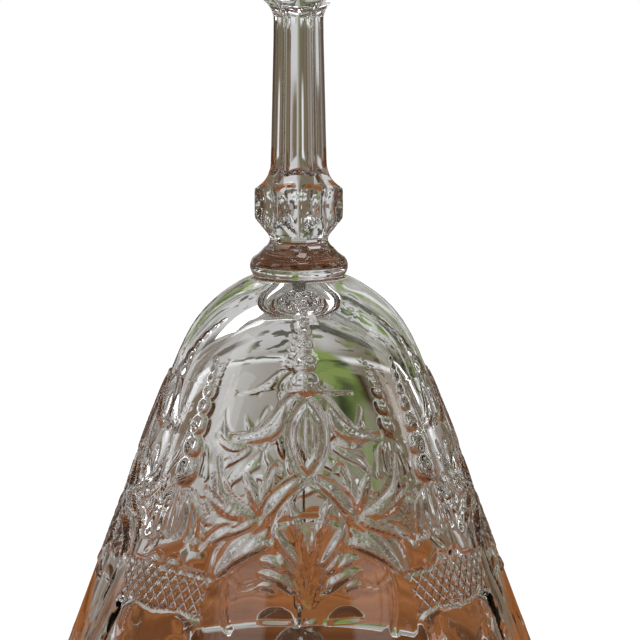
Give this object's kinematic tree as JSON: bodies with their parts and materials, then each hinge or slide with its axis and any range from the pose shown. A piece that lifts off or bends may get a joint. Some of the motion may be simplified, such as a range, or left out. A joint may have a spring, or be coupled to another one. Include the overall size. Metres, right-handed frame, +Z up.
{
  "type": "glass hand bell",
  "caption": "Small clear crystal table bell: flared cut cup, collar, six-sided handle with faceted knops, and a glass ball clapper on a fine chain.",
  "frame": {"origin": "centre of the rim, in the plane that the bell stands on", "axes": "+Z up the handle; one flat panel of the handle faces -Y; the hook's eye lies in the XZ plane"},
  "size_m": [0.0876, 0.0876, 0.1302],
  "materials": {
    "cup_glass": "polished clear crystal, pressed and cut",
    "ball_glass": "polished clear glass",
    "cement": "cast cement",
    "bright_wire": "drawn, lightly polished",
    "bright_cap": "polished plate"
  },
  "bodies": {
    "bell": {"bell_cup": "cup_glass", "collar": "cup_glass", "handle": "cup_glass", "cement_plug": "cement", "clapper_hook": "bright_wire"},
    "link_01": {"chain_link_01": "bright_wire"},
    "link_02": {"chain_link_02": "bright_wire"},
    "link_03": {"chain_link_03": "bright_wire"},
    "link_04": {"chain_link_04": "bright_wire"},
    "link_05": {"chain_link_05": "bright_wire"},
    "link_06": {"chain_link_06": "bright_wire"},
    "link_07": {"chain_link_07": "bright_wire"},
    "link_08": {"chain_link_08": "bright_wire"},
    "link_09": {"chain_link_09": "bright_wire"},
    "link_10": {"chain_link_10": "bright_wire"},
    "link_11": {"chain_link_11": "bright_wire"},
    "link_12": {"chain_link_12": "bright_wire"},
    "clapper": {"clapper_pin": "bright_wire", "clapper_cap": "bright_cap", "clapper_ball": "ball_glass", "clapper_stop": "bright_cap"}
  },
  "joints": [
    {"name": "link_01_swing", "type": "hinge", "parent": "bell", "child": "link_01", "pos_m": [0, 0, 0.0663], "axis": [1, 0, 0], "range_deg": [-5.5, 5.5]},
    {"name": "link_02_swing", "type": "hinge", "parent": "link_01", "child": "link_02", "pos_m": [0, 0, 0.06222], "axis": [0, 1, 0], "range_deg": [-5.5, 5.5]},
    {"name": "link_03_swing", "type": "hinge", "parent": "link_02", "child": "link_03", "pos_m": [0, 0, 0.05801], "axis": [1, 0, 0], "range_deg": [-5.5, 5.5]},
    {"name": "link_04_swing", "type": "hinge", "parent": "link_03", "child": "link_04", "pos_m": [0, 0, 0.0538], "axis": [0, 1, 0], "range_deg": [-5.5, 5.5]},
    {"name": "link_05_swing", "type": "hinge", "parent": "link_04", "child": "link_05", "pos_m": [0, 0, 0.04959], "axis": [1, 0, 0], "range_deg": [-5.5, 5.5]},
    {"name": "link_06_swing", "type": "hinge", "parent": "link_05", "child": "link_06", "pos_m": [0, 0, 0.04538], "axis": [0, 1, 0], "range_deg": [-5.5, 5.5]},
    {"name": "link_07_swing", "type": "hinge", "parent": "link_06", "child": "link_07", "pos_m": [0, 0, 0.04117], "axis": [1, 0, 0], "range_deg": [-5.5, 5.5]},
    {"name": "link_08_swing", "type": "hinge", "parent": "link_07", "child": "link_08", "pos_m": [0, 0, 0.03696], "axis": [0, 1, 0], "range_deg": [-5.5, 5.5]},
    {"name": "link_09_swing", "type": "hinge", "parent": "link_08", "child": "link_09", "pos_m": [0, 0, 0.03275], "axis": [1, 0, 0], "range_deg": [-5.5, 5.5]},
    {"name": "link_10_swing", "type": "hinge", "parent": "link_09", "child": "link_10", "pos_m": [0, 0, 0.02855], "axis": [0, 1, 0], "range_deg": [-5.5, 5.5]},
    {"name": "link_11_swing", "type": "hinge", "parent": "link_10", "child": "link_11", "pos_m": [0, 0, 0.02434], "axis": [1, 0, 0], "range_deg": [-5.5, 5.5]},
    {"name": "link_12_swing", "type": "hinge", "parent": "link_11", "child": "link_12", "pos_m": [0, 0, 0.02013], "axis": [0, 1, 0], "range_deg": [-5.5, 5.5]},
    {"name": "clapper_swing", "type": "hinge", "parent": "link_12", "child": "clapper", "pos_m": [0, 0, 0.01592], "axis": [1, 0, 0], "range_deg": [-5.5, 5.5]}
  ]
}
